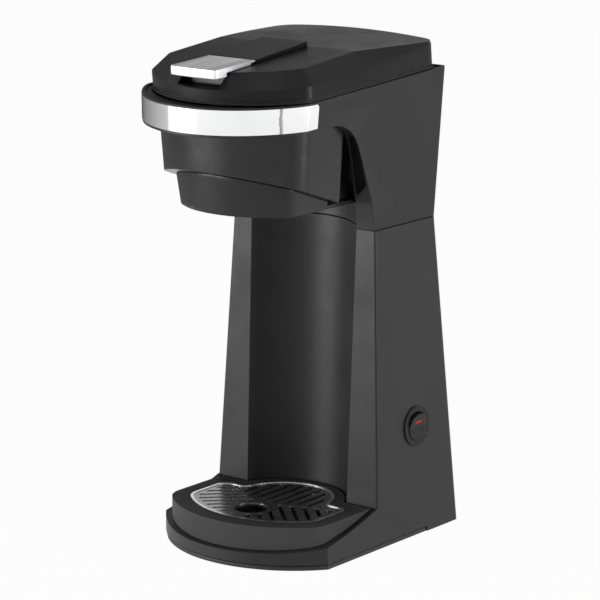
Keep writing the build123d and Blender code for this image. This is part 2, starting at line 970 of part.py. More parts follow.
# Upper tier under the head, hung from the soffit by a flange
neck_front_y = shroud_rear_y - shroud_wall
shroud_edge = level(shroud_edge_z, shroud_edge_slope)
with BuildPart() as shroud_flange:
    add(shroud_body(flange_reach, shroud_rear_y))
    soffit = level(soffit_height, rim_slope).offset(soffit_thickness)
    split(bisect_by=soffit, keep=Keep.TOP)
    split(bisect_by=soffit.offset(flange_thickness), keep=Keep.BOTTOM)

with BuildPart() as shroud_hollow:
    add(shroud_body(-shroud_wall, shroud_rear_y - shroud_wall))
    split(bisect_by=shroud_edge.offset(shroud_wall), keep=Keep.TOP)

with BuildPart() as head_shroud:
    add(shroud_body(0, shroud_rear_y))
    split(bisect_by=shroud_edge, keep=Keep.TOP)
    add(shroud_flange.part)
    with BuildSketch(Plane.XY.offset(ceiling_z)):
        with Locations((0, (neck_front_y + neck_back_y) / 2)):
            Rectangle(2 * neck_half_width, neck_back_y - neck_front_y)
    extrude(amount=top_deck_z - ceiling_z)
    add(shroud_hollow.part, mode=Mode.SUBTRACT)
    with BuildSketch(Plane.XY.offset(ceiling_z + shroud_wall)):
        with Locations((0, neck_front_y - shroud_wall + half_depth / 2)):
            Rectangle(2 * (neck_half_width - shroud_wall), half_depth)
    extrude(amount=rim_height, mode=Mode.SUBTRACT)
    add(spout_body(spout_bottom_z - shroud_wall, -shroud_wall, neck_front_y), mode=Mode.SUBTRACT)
    split(bisect_by=level(top_deck_z), keep=Keep.BOTTOM)
head_shroud.part.label = "head_shroud"
export_step(head_shroud.part, "parts/head_shroud.step")

# Lower tier round the outlet, closing the top of the niche
spout_back_y = neck_front_y - touch_gap
with BuildPart() as spout_shroud:
    add(spout_body(spout_bottom_z, 0, spout_back_y))
    split(bisect_by=shroud_edge.offset(-touch_gap), keep=Keep.BOTTOM)
    add(spout_body(spout_floor_z, -shroud_wall, -shroud_rear_y), mode=Mode.SUBTRACT)
    with BuildSketch(Plane.XY.offset(spout_bottom_z)):
        with Locations((0, niche_y)):
            Circle(niche_r(spout_bottom_z) - slide_gap)
        with Locations((0, spout_back_y + half_depth / 2 - wall)):
            Rectangle(2 * spout_half_width, half_depth, mode=Mode.INTERSECT)
    extrude(amount=shroud_wall)
    with BuildSketch(Plane.XY.offset(spout_bottom_z)):
        with Locations((0, brew_y)):
            Circle(outlet_r)
    extrude(amount=shroud_wall, mode=Mode.SUBTRACT)
spout_shroud.part.label = "spout_shroud"
export_step(spout_shroud.part, "parts/spout_shroud.step")

# Deck inside the head, with the pod hole and the mouth of the tank
with BuildPart() as top_deck:
    add(upper_body(-wall - touch_gap))
    split(bisect_by=level(top_deck_top), keep=Keep.BOTTOM)
    split(bisect_by=level(top_deck_z), keep=Keep.TOP)
    with BuildSketch(Plane.XY.offset(top_deck_z)):
        with Locations((0, brew_y)):
            Circle(holder_r + slide_gap)
        with Locations((0, (mouth_front_y + mouth_rear_y) / 2)):
            RectangleRounded(2 * mouth_half_width, mouth_rear_y - mouth_front_y, mouth_corner_r)
        with Locations((pipe_x, pipe_y)):
            Circle(riser_r + slide_gap)
    extrude(amount=top_deck_thickness, mode=Mode.SUBTRACT)
top_deck.part.label = "top_deck"
export_step(top_deck.part, "parts/top_deck.step")

# Pod holder and its lower needle
with BuildPart() as pod_holder:
    with BuildSketch(Plane.XZ.offset(-brew_y)):
        with BuildLine():
            Polyline(
                (nozzle_bore_r, nozzle_end_z),
                (nozzle_r, nozzle_end_z),
                (nozzle_r, holder_floor_z - holder_floor),
                (holder_foot_r, holder_floor_z - holder_floor),
                (holder_r, top_deck_top),
                (holder_flange_r, top_deck_top),
                (holder_flange_r, top_deck_top + holder_flange),
                (holder_r - holder_wall, top_deck_top + holder_flange),
                (holder_foot_r - holder_wall, holder_floor_z),
                (nozzle_bore_r, holder_floor_z),
                close=True,
            )
        make_face()
    revolve(axis=Axis((0, brew_y, 0), (0, 0, 1)))
pod_holder.part.label = "pod_holder"
export_step(pod_holder.part, "parts/pod_holder.step")

with BuildPart() as lower_needle:
    with BuildSketch(Plane.XY.offset(holder_floor_z)):
        with Locations((0, brew_y)):
            Circle(lower_needle_base_r)
    extrude(amount=needle_r)
    with BuildSketch(Plane.XY.offset(holder_floor_z + needle_r)):
        with Locations((0, brew_y)):
            Circle(needle_r)
    with BuildSketch(Plane.XY.offset(holder_floor_z + lower_needle_length)):
        with Locations((0, brew_y)):
            Circle(needle_tip_r)
    loft()
lower_needle.part.label = "lower_needle"
export_step(lower_needle.part, "parts/lower_needle.step")

# Water tank under the deck
with BuildPart() as water_tank:
    tank_middle_y = (tank_front_y + tank_rear_y) / 2
    tank_depth = tank_rear_y - tank_front_y
    with BuildSketch(Plane.XY.offset(tank_floor_z)):
        with Locations((0, tank_middle_y)):
            RectangleRounded(2 * tank_half_width, tank_depth, tank_corner_r)
    extrude(amount=top_deck_z - tank_floor_z)
    with BuildSketch(Plane.XY.offset(tank_floor_z + tank_wall)):
        with Locations((0, tank_middle_y)):
            RectangleRounded(
                2 * (tank_half_width - tank_wall), tank_depth - 2 * tank_wall, tank_corner_r - tank_wall
            )
    extrude(amount=top_deck_z - tank_floor_z, mode=Mode.SUBTRACT)
    with BuildSketch(Plane.XY.offset(tank_floor_z)):
        with Locations((-pipe_x, nipple_y)):
            Circle(hose_r)
    extrude(amount=-nipple_length)
    with BuildSketch(Plane.XY.offset(tank_floor_z - nipple_length)):
        with Locations((-pipe_x, nipple_y)):
            Circle(hose_bore_r)
    extrude(amount=2 * nipple_length, mode=Mode.SUBTRACT)
water_tank.part.label = "water_tank"
export_step(water_tank.part, "parts/water_tank.step")

with BuildPart() as tank_strainer:
    with BuildSketch(Plane.XY.offset(tank_floor_z + tank_wall)):
        with Locations((-pipe_x, nipple_y)):
            Circle(strainer_r)
    extrude(amount=strainer_height)
tank_strainer.part.label = "tank_strainer"
export_step(tank_strainer.part, "parts/tank_strainer.step")

# Heater low in the column, on a bracket that stands on the base plate
with BuildPart() as heater_body:
    with BuildSketch(Plane.XY.offset(heater_bottom_z)):
        with Locations((0, pipe_y)):
            RectangleRounded(heater_length, heater_depth, heater_corner_r)
    extrude(amount=heater_height)
heater_body.part.label = "heater_body"
export_step(heater_body.part, "parts/heater_body.step")

with BuildPart() as heater_tube:
    tube_z = heater_top_z + heater_tube_r
    with BuildLine() as tube_path:
        FilletPolyline(
            (-pipe_x, pipe_y, heater_tube_top_z),
            (-pipe_x, pipe_y, tube_z),
            (pipe_x, pipe_y, tube_z),
            (pipe_x, pipe_y, heater_tube_top_z),
            radius=heater_bend_r,
        )
    with BuildSketch(Plane.XY.offset(heater_tube_top_z)):
        with Locations((-pipe_x, pipe_y)):
            Circle(heater_tube_r)
            Circle(hose_bore_r, mode=Mode.SUBTRACT)
    sweep(path=tube_path.line)
heater_tube.part.label = "heater_tube"
export_step(heater_tube.part, "parts/heater_tube.step")

with BuildPart() as heater_bracket:
    with BuildSketch(Plane.XY.offset(strip_top_z)):
        with Locations((0, pipe_y)):
            Rectangle(2 * bracket_leg_x + bracket_thickness, bracket_leg_width)
    extrude(amount=bracket_thickness)
    with BuildSketch(Plane.XY.offset(strip_top_z)):
        with Locations((-bracket_leg_x, pipe_y), (bracket_leg_x, pipe_y)):
            Rectangle(bracket_thickness, bracket_leg_width)
    extrude(amount=heater_bottom_z - strip_top_z)
heater_bracket.part.label = "heater_bracket"
export_step(heater_bracket.part, "parts/heater_bracket.step")

heater_middle_z = heater_bottom_z + heater_height / 2
with BuildPart() as thermostat:
    with BuildSketch(Plane.XZ.offset(heater_depth / 2 - pipe_y)):
        with Locations((0, heater_middle_z)):
            Circle(thermostat_r)
    extrude(amount=thermostat_height)
thermostat.part.label = "thermostat"
export_step(thermostat.part, "parts/thermostat.step")

with BuildPart() as thermal_fuse:
    with BuildSketch(Plane.YZ.offset(fuse_x - fuse_length / 2)):
        with Locations((pipe_y - heater_depth / 2 - fuse_r, heater_middle_z)):
            Circle(fuse_r)
    extrude(amount=fuse_length)
thermal_fuse.part.label = "thermal_fuse"
export_step(thermal_fuse.part, "parts/thermal_fuse.step")

# Check valve, cold hose from the tank and hot riser to the lid
with BuildPart() as check_valve:
    with BuildSketch(Plane.XY.offset(heater_tube_top_z)):
        with Locations((-pipe_x, pipe_y)):
            Circle(valve_r)
            Circle(hose_bore_r, mode=Mode.SUBTRACT)
    extrude(amount=valve_height)
check_valve.part.label = "check_valve"
export_step(check_valve.part, "parts/check_valve.step")

with BuildPart() as cold_hose:
    with BuildLine() as hose_path:
        FilletPolyline(
            (-pipe_x, pipe_y, valve_top_z),
            (-pipe_x, pipe_y, hose_bend_z),
            (-pipe_x, nipple_y, hose_back_z),
            (-pipe_x, nipple_y, tank_floor_z - nipple_length),
            radius=hose_bend_r,
        )
    with BuildSketch(Plane.XY.offset(valve_top_z)):
        with Locations((-pipe_x, pipe_y)):
            Circle(hose_r)
            Circle(hose_bore_r, mode=Mode.SUBTRACT)
    sweep(path=hose_path.line)
cold_hose.part.label = "cold_hose"
export_step(cold_hose.part, "parts/cold_hose.step")

with BuildPart() as hot_riser:
    riser_top_z = lid_under + rim_slope * pipe_y - riser_gap
    with BuildSketch(Plane.XY.offset(heater_tube_top_z)):
        with Locations((pipe_x, pipe_y)):
            Circle(riser_r)
            Circle(riser_bore_r, mode=Mode.SUBTRACT)
    extrude(amount=riser_top_z - heater_tube_top_z)
hot_riser.part.label = "hot_riser"
export_step(hot_riser.part, "parts/hot_riser.step")

# Gland where the mains lead would enter
with BuildPart() as cord_gland:
    with BuildSketch(gland_plane.offset(-wall - gland_flange)):
        Circle(gland_flange_r)
    extrude(amount=gland_flange)
    with BuildSketch(gland_plane.offset(-gland_depth)):
        Circle(gland_r)
    extrude(amount=gland_depth + bore_gap)
    with BuildSketch(gland_plane.offset(-gland_depth)):
        Circle(gland_bore_r)
    extrude(amount=2 * gland_depth, mode=Mode.SUBTRACT)
cord_gland.part.label = "cord_gland"
export_step(cord_gland.part, "parts/cord_gland.step")

# Drip tray, cut to the curve of the plinth below it
with BuildPart() as tray_room:
    add(above(level(foot_proud)))
    add(under_edge(-slide_gap, deck_z + slide_gap), mode=Mode.SUBTRACT)

with BuildPart() as basin_room:
    add(above(level(foot_proud)))
    add(under_edge(-slide_gap - tray_wall, deck_z + slide_gap + tray_wall), mode=Mode.SUBTRACT)

with BuildPart() as basin:
    with BuildSketch(Plane.XY.offset(foot_proud)):
        add(grate_outline(-ledge_width))
    extrude(amount=tray_top_z)
    add(basin_room.part, mode=Mode.INTERSECT)

with BuildPart() as drip_tray:
    with BuildSketch(Plane.XY.offset(foot_proud)):
        add(tray_outline(0))
    extrude(amount=tray_top_z - foot_proud)
    add(tray_room.part, mode=Mode.INTERSECT)
    add(basin.part, mode=Mode.SUBTRACT)
    with BuildSketch(Plane.XY.offset(seat_z)):
        add(grate_outline(slide_gap))
    extrude(amount=tray_top_z, mode=Mode.SUBTRACT)
drip_tray.part.label = "drip_tray"
export_step(drip_tray.part, "parts/drip_tray.step")

# Slots of the grate in three sectors round the finger hole
with BuildSketch() as slot_field:
    add(grate_outline(-ring_width - slot_margin))
    with Locations((0, brew_y)):
        Circle(finger_hole_r + slot_margin, mode=Mode.SUBTRACT)

with BuildSketch() as rear_sector:
    with BuildLine():
        Polyline(
            (0, sector_tip_y),
            (half_depth, sector_tip_y + sector_rise * half_depth),
            (half_depth, half_depth),
            (-half_depth, half_depth),
            (-half_depth, sector_tip_y + sector_rise * half_depth),
            close=True,
        )
    make_face()

with BuildSketch() as right_sector:
    with BuildLine():
        Polyline(
            (sector_gap / 2, sector_tip_y - sector_gap),
            (half_depth, sector_tip_y - sector_gap + sector_rise * half_depth),
            (half_depth, -half_depth),
            (sector_gap / 2, -half_depth),
            close=True,
        )
    make_face()

slot_rows = round(slot_length / slot_pitch)
with BuildSketch() as rear_slots:
    with Locations((0, brew_y + slot_length / 2)):
        with GridLocations(slot_pitch, 1, slot_rows, 1):
            Rectangle(slot_width, slot_length)
    add(rear_sector.sketch, mode=Mode.INTERSECT)
    add(slot_field.sketch, mode=Mode.INTERSECT)

with BuildSketch() as right_slots:
    with Locations(Location((0, brew_y), slot_angle)):
        with GridLocations(slot_pitch, 1, 2 * slot_rows, 1):
            Rectangle(slot_width, 2 * slot_length)
    add(right_sector.sketch, mode=Mode.INTERSECT)
    add(slot_field.sketch, mode=Mode.INTERSECT)

with BuildSketch() as left_slots:
    add(right_slots.sketch)
    mirror(about=Plane.YZ, mode=Mode.REPLACE)

with BuildPart() as drip_grate:
    with BuildSketch(Plane.XY.offset(seat_z)):
        add(grate_outline(-ring_width))
        with Locations((0, brew_y)):
            Circle(finger_hole_r, mode=Mode.SUBTRACT)
        add(rear_slots.sketch, mode=Mode.SUBTRACT)
        add(right_slots.sketch, mode=Mode.SUBTRACT)
        add(left_slots.sketch, mode=Mode.SUBTRACT)
    extrude(amount=grate_thickness)
drip_grate.part.label = "drip_grate"
export_step(drip_grate.part, "parts/drip_grate.step")

with BuildPart() as grate_ring:
    with BuildSketch(Plane.XY.offset(seat_z)):
        add(grate_outline(0))
        add(grate_outline(-ring_width), mode=Mode.SUBTRACT)
    extrude(amount=grate_thickness + ring_proud)
grate_ring.part.label = "grate_ring"
export_step(grate_ring.part, "parts/grate_ring.step")

# Rocker switch: bezel with its barrel, rocker, marker and terminals
rocker_centre = switch_plane.origin - switch_plane.z_dir * rocker_pivot_depth
rocker_angle = radians(switch_tilt + rocker_tilt)
rocker_side = Plane(
    origin=rocker_centre, x_dir=(cos(rocker_angle), 0, sin(rocker_angle)), z_dir=(0, -1, 0)
)
rocker_edge = rocker_front + barrel_r * tan(radians(rocker_valley))
marker_angle = rocker_angle - radians(rocker_valley)
marker_place = Plane(
    origin=rocker_centre + rocker_side.x_dir * rocker_front,
    x_dir=(0, 1, 0),
    z_dir=(cos(marker_angle), 0, sin(marker_angle)),
)

with BuildPart() as switch_bezel:
    with BuildSketch(switch_plane):
        Circle(bezel_r)
    extrude(amount=bezel_proud)
    with BuildSketch(switch_plane):
        Circle(barrel_r)
    extrude(amount=-barrel_depth)
    with BuildSketch(switch_plane.offset(bezel_proud)):
        Circle(pocket_r)
    extrude(amount=-pocket_depth, mode=Mode.SUBTRACT)
    with BuildSketch(rocker_side):
        Circle(stub_r + stub_clearance)
    extrude(amount=stub_end + touch_gap, both=True, mode=Mode.SUBTRACT)
switch_bezel.part.label = "switch_bezel"
export_step(switch_bezel.part, "parts/switch_bezel.step")

with BuildPart() as rocker_slab:
    with BuildSketch(rocker_side):
        with BuildLine():
            Polyline(
                (-rocker_back, -barrel_r),
                (rocker_edge, -barrel_r),
                (rocker_front, 0),
                (rocker_edge, barrel_r),
                (-rocker_back, barrel_r),
                close=True,
            )
        make_face()
    extrude(amount=barrel_r, both=True)

with BuildPart() as switch_rocker:
    with BuildSketch(Plane(origin=rocker_centre, x_dir=(0, 1, 0), z_dir=rocker_side.x_dir)):
        Circle(rocker_r)
    extrude(amount=barrel_r, both=True)
    add(rocker_slab.part, mode=Mode.INTERSECT)
    with BuildSketch(rocker_side):
        Circle(stub_r)
    extrude(amount=stub_end, both=True)
    with BuildSketch(marker_place):
        with Locations((0, marker_rise)):
            Rectangle(marker_length, marker_width)
    extrude(amount=-marker_depth, mode=Mode.SUBTRACT)
switch_rocker.part.label = "switch_rocker"
export_step(switch_rocker.part, "parts/switch_rocker.step")

with BuildPart() as rocker_marker:
    with BuildSketch(marker_place):
        with Locations((0, marker_rise)):
            Rectangle(marker_length, marker_width)
    extrude(amount=-marker_depth)
rocker_marker.part.label = "rocker_marker"
export_step(rocker_marker.part, "parts/rocker_marker.step")

with BuildPart() as switch_terminals:
    with BuildSketch(switch_plane.offset(-barrel_depth)):
        with Locations((0, -blade_spread), (0, blade_spread)):
            Rectangle(blade_width, blade_thickness)
    extrude(amount=-blade_length)
switch_terminals.part.label = "switch_terminals"
export_step(switch_terminals.part, "parts/switch_terminals.step")

# Lid shell with its facets, finger recess, hinge knuckles and latch slot
panel_plane = level(panel_height, crease_slope)
knuckle_places = []
for place in ear_places:
    knuckle_places.append(place - ear_width / 2 - ear_gap - knuckle_width)
    knuckle_places.append(place + ear_width / 2 + ear_gap)
with BuildPart() as lid_hollow:
    add(lid_body(lid_wall))
    add(latch_recess(lid_wall), mode=Mode.SUBTRACT)
    with BuildSketch(panel_plane):
        for side in (-1, 1):
            with Locations((side * (knuckle_outer_x + knuckle_gap + pin_hold / 2), latch_pin_y)):
                Rectangle(pin_hold, 2 * (knuckle_r + knuckle_gap))
    extrude(amount=-2 * lid_wall, mode=Mode.SUBTRACT)

with BuildPart() as lid_shell:
    add(lid_body(0))
    add(latch_recess(0), mode=Mode.SUBTRACT)
    add(lid_hollow.part, mode=Mode.SUBTRACT)
    for start in knuckle_places:
        with BuildSketch(Plane.YZ.offset(start)):
            with Locations((hinge_y, hinge_z)):
                Circle(hinge_lug_r)
            with Locations(((lid_rear_y - lid_wall / 2 + hinge_y) / 2, hinge_z)):
                Rectangle(hinge_y - lid_rear_y + lid_wall / 2, web_height)
            with Locations((hinge_y, hinge_z)):
                Circle(hinge_pin_r + bore_gap, mode=Mode.SUBTRACT)
        extrude(amount=knuckle_width)
    with BuildSketch(panel_plane):
        with Locations((0, latch_pin_y)):
            Rectangle(2 * (knuckle_outer_x + knuckle_gap), 2 * (knuckle_r + knuckle_gap))
    extrude(amount=-2 * lid_wall, both=True, mode=Mode.SUBTRACT)
    with BuildSketch(Plane.YZ):
        with Locations((latch_pin_y, latch_pin_z)):
            Circle(latch_pin_r)
    extrude(amount=knuckle_outer_x + knuckle_gap + pin_hold - touch_gap, both=True, mode=Mode.SUBTRACT)
lid_shell.part.label = "lid_shell"
export_step(lid_shell.part, "parts/lid_shell.step")

with BuildPart() as lid_liner:
    add(lid_body(lid_wall + liner_gap))
    split(bisect_by=level(lid_under + liner_thickness, rim_slope), keep=Keep.BOTTOM)
    with BuildSketch(Plane.XY.offset(lid_under - liner_thickness * 2)):
        with Locations((0, brew_y), (pipe_x, pipe_y)):
            Circle(lid_hose_r + hose_room)
    extrude(amount=2 * facet_height, mode=Mode.SUBTRACT)
    add(latch_recess(lid_wall + touch_gap), mode=Mode.SUBTRACT)
lid_liner.part.label = "lid_liner"
export_step(lid_liner.part, "parts/lid_liner.step")

with BuildPart() as lid_gasket:
    add(lid_prism(gasket_reach))
    split(bisect_by=level(lid_under - gasket_neck, rim_slope), keep=Keep.BOTTOM)
    add(lid_prism(-gasket_groove))
    add(lid_prism(-lid_wall), mode=Mode.SUBTRACT)
    split(bisect_by=level(lid_under, rim_slope), keep=Keep.BOTTOM)
    split(bisect_by=level(lid_under - gasket_height, rim_slope), keep=Keep.TOP)
lid_gasket.part.label = "lid_gasket"
export_step(lid_gasket.part, "parts/lid_gasket.step")

pad_front_y = latch_rear_y + latch_back_gap
pad_base_z = panel_height + crease_slope * pad_rear_y
with BuildPart() as lid_pad:
    with BuildSketch(panel_plane):
        with Locations((0, (pad_front_y + pad_rear_y) / 2)):
            Rectangle(2 * pad_half_width, pad_rear_y - pad_front_y)
    extrude(amount=2 * pad_rise)
    split(bisect_by=level(pad_base_z + pad_rise - pad_slope * pad_rear_y, pad_slope), keep=Keep.BOTTOM)
lid_pad.part.label = "lid_pad"
export_step(lid_pad.part, "parts/lid_pad.step")

# Latch plate with its stepped underside and split knuckle
latch_plane = level(latch_front_z - latch_slope * latch_front_y, latch_slope)
with BuildPart() as latch_under:
    with BuildSketch(panel_plane.offset(latch_lift)):
        with Locations((0, latch_step_y + half_depth / 2)):
            Rectangle(half_depth, half_depth)
    extrude(amount=-half_depth)
    with BuildSketch(panel_plane.offset(latch_lift)):
        with Locations((0, latch_rear_y + half_depth / 2 - latch_relief_length)):
            Rectangle(half_depth, half_depth)
    extrude(amount=latch_relief)

with BuildPart() as latch_plate:
    with BuildSketch(latch_plane):
        add(bow_outline(pad_half_width, latch_arc_y, latch_arc_r, latch_rear_y, latch_corner_r))
    extrude(amount=-latch_thickness)
    add(latch_under.part, mode=Mode.SUBTRACT)
    for start in (-knuckle_outer_x, knuckle_inner_x):
        with BuildSketch(Plane.YZ.offset(start)):
            with Locations((latch_pin_y, latch_pin_z)):
                Circle(knuckle_r)
            with Locations((latch_pin_y, latch_pin_z + knuckle_r)):
                Rectangle(knuckle_r, knuckle_r * 3 / 2)
            with Locations((latch_pin_y, latch_pin_z)):
                Circle(latch_pin_r + bore_gap, mode=Mode.SUBTRACT)
        extrude(amount=knuckle_outer_x - knuckle_inner_x)
latch_plate.part.label = "latch_plate"
export_step(latch_plate.part, "parts/latch_plate.step")

with BuildPart() as latch_pin:
    with BuildSketch(Plane.YZ):
        with Locations((latch_pin_y, latch_pin_z)):
            Circle(latch_pin_r)
    extrude(amount=knuckle_outer_x + knuckle_gap + pin_hold - touch_gap, both=True)
latch_pin.part.label = "latch_pin"
export_step(latch_pin.part, "parts/latch_pin.step")

with BuildPart() as latch_spring:
    with BuildSketch(Plane.YZ):
        with Locations((latch_pin_y, latch_pin_z)):
            Circle(spring_r)
            Circle(latch_pin_r + bore_gap, mode=Mode.SUBTRACT)
    extrude(amount=knuckle_inner_x - knuckle_gap, both=True)
latch_spring.part.label = "latch_spring"
export_step(latch_spring.part, "parts/latch_spring.step")

# Two short hinge pins, fast in the ears
with BuildPart() as hinge_pins:
    for place in ear_places:
        with BuildSketch(Plane.YZ.offset(place)):
            with Locations((hinge_y, hinge_z)):
                Circle(hinge_pin_r)
        extrude(amount=ear_width / 2 + ear_gap + knuckle_width, both=True)
hinge_pins.part.label = "hinge_pins"
export_step(hinge_pins.part, "parts/hinge_pins.step")

# Piercing head under the liner
with BuildPart() as needle_block:
    with BuildSketch(Plane.XY.offset(block_bottom_z)):
        with Locations((0, brew_y)):
            Circle(block_r)
            Circle(needle_r, mode=Mode.SUBTRACT)
    extrude(amount=2 * facet_height)
    split(bisect_by=level(lid_under, rim_slope), keep=Keep.BOTTOM)
needle_block.part.label = "needle_block"
export_step(needle_block.part, "parts/needle_block.step")

with BuildPart() as pod_gasket:
    with BuildSketch(Plane.XY.offset(top_deck_top + holder_flange + pod_seal_drop)):
        with Locations((0, brew_y)):
            Circle(pod_seal_r)
            Circle(block_r, mode=Mode.SUBTRACT)
    extrude(amount=pod_seal_height)
pod_gasket.part.label = "pod_gasket"
export_step(pod_gasket.part, "parts/pod_gasket.step")

with BuildPart() as top_needle:
    needle_top_z = block_bottom_z + needle_sink
    with BuildSketch(Plane.XY.offset(needle_top_z)):
        with Locations((0, brew_y)):
            Circle(needle_r)
    extrude(amount=block_bottom_z - needle_top_z)
    with BuildSketch(Plane.XY.offset(block_bottom_z)):
        with Locations((0, brew_y)):
            Circle(needle_r)
    with BuildSketch(Plane.XY.offset(top_needle_tip_z)):
        with Locations((0, brew_y)):
            Circle(needle_tip_r)
    loft()
top_needle.part.label = "top_needle"
export_step(top_needle.part, "parts/top_needle.step")

with BuildPart() as lid_hose:
    hose_end_z = lid_under + rim_slope * brew_y + touch_gap
    port_z = lid_under + rim_slope * pipe_y
    with BuildLine() as lid_hose_path:
        FilletPolyline(
            (0, brew_y, hose_end_z),
            (0, brew_y, lid_hose_front_z),
            (pipe_x, pipe_y, lid_hose_rear_z),
            (pipe_x, pipe_y, port_z),
            radius=lid_hose_bend_r,
        )
    with BuildSketch(Plane.XY.offset(hose_end_z)):
        with Locations((0, brew_y)):
            Circle(lid_hose_r)
            Circle(lid_hose_bore_r, mode=Mode.SUBTRACT)
    sweep(path=lid_hose_path.line)
lid_hose.part.label = "lid_hose"
export_step(lid_hose.part, "parts/lid_hose.step")
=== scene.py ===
"""Pod coffee machine dressed for a plain white studio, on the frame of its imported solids."""

import logging
from dataclasses import dataclass, field
from enum import Enum
from typing import ClassVar, Protocol

import bpy
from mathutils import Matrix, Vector

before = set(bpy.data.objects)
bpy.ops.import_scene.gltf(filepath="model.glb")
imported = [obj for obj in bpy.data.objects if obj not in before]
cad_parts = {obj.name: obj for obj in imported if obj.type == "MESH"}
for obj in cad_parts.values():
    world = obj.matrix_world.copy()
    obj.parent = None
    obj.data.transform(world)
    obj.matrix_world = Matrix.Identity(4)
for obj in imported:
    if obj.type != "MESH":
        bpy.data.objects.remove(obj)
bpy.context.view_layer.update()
LOG = logging.getLogger("coffee_machine")

Colour = tuple[float, float, float]
Triple = tuple[float, float, float]

EVEN: Triple = (1.0, 1.0, 1.0)
WHITE = (1.0, 1.0, 1.0, 1.0)
MM_PER_M = 1000.0


def toned(colour: Colour, factor: float, lift: float = 0.0) -> Colour:
    """A colour made lighter or darker.

    Args:
        colour: the plain colour.
        factor: what each channel is multiplied by.
        lift: what each channel then gains.

    Returns:
        The new colour, no channel above 1.
    """
    return tuple(min(1.0, factor * channel + lift) for channel in colour)


def add_to_scene(name: str, data: bpy.types.ID) -> bpy.types.Object:
    """Put new data into the scene.

    Args:
        name: the object's name.
        data: its mesh, light or camera.

    Returns:
        The new object.
    """
    made = bpy.data.objects.new(name, data)
    bpy.context.scene.collection.objects.link(made)
    return made


def aim(thing: bpy.types.Object, place: Triple, target: Triple) -> None:
    """Stand a lamp, card or camera at a place and turn it to a target.

    Args:
        thing: what is turned.
        place: where it stands.
        target: the point it faces.
    """
    thing.location = place
    thing.rotation_euler = (Vector(target) - Vector(place)).to_track_quat("-Z", "Y").to_euler()


def panel(name: str, wide: float, tall: float) -> bpy.types.Object:
    """A flat rectangle about the origin.

    Args:
        name: the name of the object and its mesh.
        wide: half its width.
        tall: half its height.

    Returns:
        The new object.
    """
    mesh = bpy.data.meshes.new(name)
    corners = [(-wide, -tall, 0), (wide, -tall, 0), (wide, tall, 0), (-wide, tall, 0)]
    mesh.from_pydata(corners, [], [(0, 1, 2, 3)])
    return add_to_scene(name, mesh)


def any_ray(tree: bpy.types.NodeTree, kinds: tuple[str, ...]) -> bpy.types.NodeSocket:
    """Find rays of some kinds.

    Args:
        tree: the node tree that asks.
        kinds: names of Light Path outputs.

    Returns:
        A socket that is 1 for a ray of any of the kinds.
    """
    rays = tree.nodes.new("ShaderNodeLightPath")
    found = rays.outputs[kinds[0]]
    for kind in kinds[1:]:
        either = tree.nodes.new("ShaderNodeMath")
        either.operation = "MAXIMUM"
        tree.links.new(found, either.inputs[0])
        tree.links.new(rays.outputs[kind], either.inputs[1])
        found = either.outputs[0]
    return found


class Coat(Enum):
    """How a moulded surface is left by its tool."""

    SPARK = "spark-eroded grain"
    SATIN = "satin"
    GLOSS = "gloss"


@dataclass(frozen=True)
class Grain:
    """Tool grain: noise cells per metre, how much of it shows, and its depth in metres."""

    scale: float
    strength: float
    depth: float


class Finish(Protocol):
    """Anything that can make a material."""

    def material(self) -> bpy.types.Material:
        """Make the material, or return it if it exists."""


